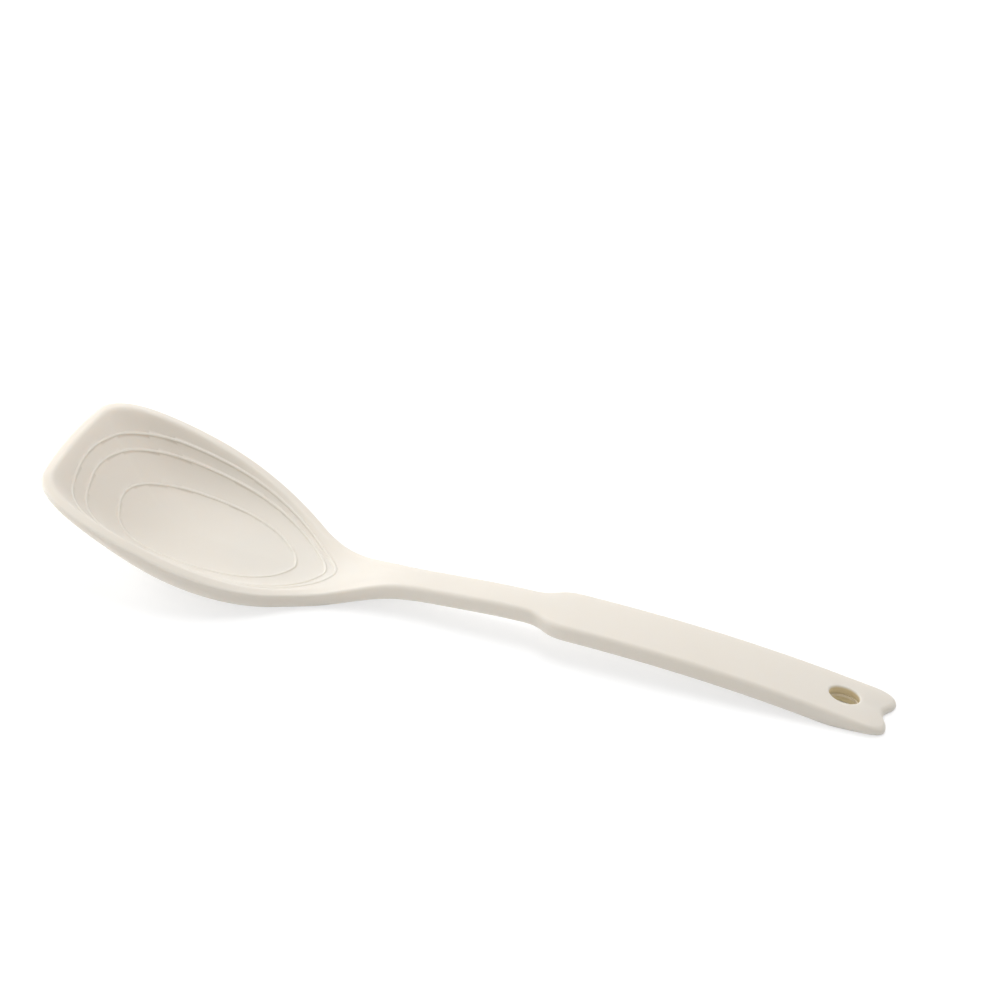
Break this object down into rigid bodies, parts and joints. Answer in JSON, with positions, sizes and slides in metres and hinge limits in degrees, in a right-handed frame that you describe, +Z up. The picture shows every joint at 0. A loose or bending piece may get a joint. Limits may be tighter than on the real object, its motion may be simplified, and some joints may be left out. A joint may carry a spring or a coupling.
{
  "type": "silicone spatula spoon",
  "caption": "Silicone cooking spoon with a wide scoop head, three raised beads in the bowl, a narrow neck and a flat handle with a hang hole, moulded round a stamped steel core.",
  "frame": {"origin": "on the table, under the middle of the spoon's length and width, with the spoon lying bowl upwards", "axes": "+X along the spoon from the tip to the handle's end, +Y across it, +Z up out of the bowl"},
  "size_m": [0.31, 0.075, 0.0377],
  "materials": {
    "silicone": "matt moulded food silicone, warm cream",
    "steel": "stamped stainless sheet, as rolled"
  },
  "bodies": {
    "root": {"silicone_skin": "silicone", "steel_core": "steel"}
  },
  "joints": []
}
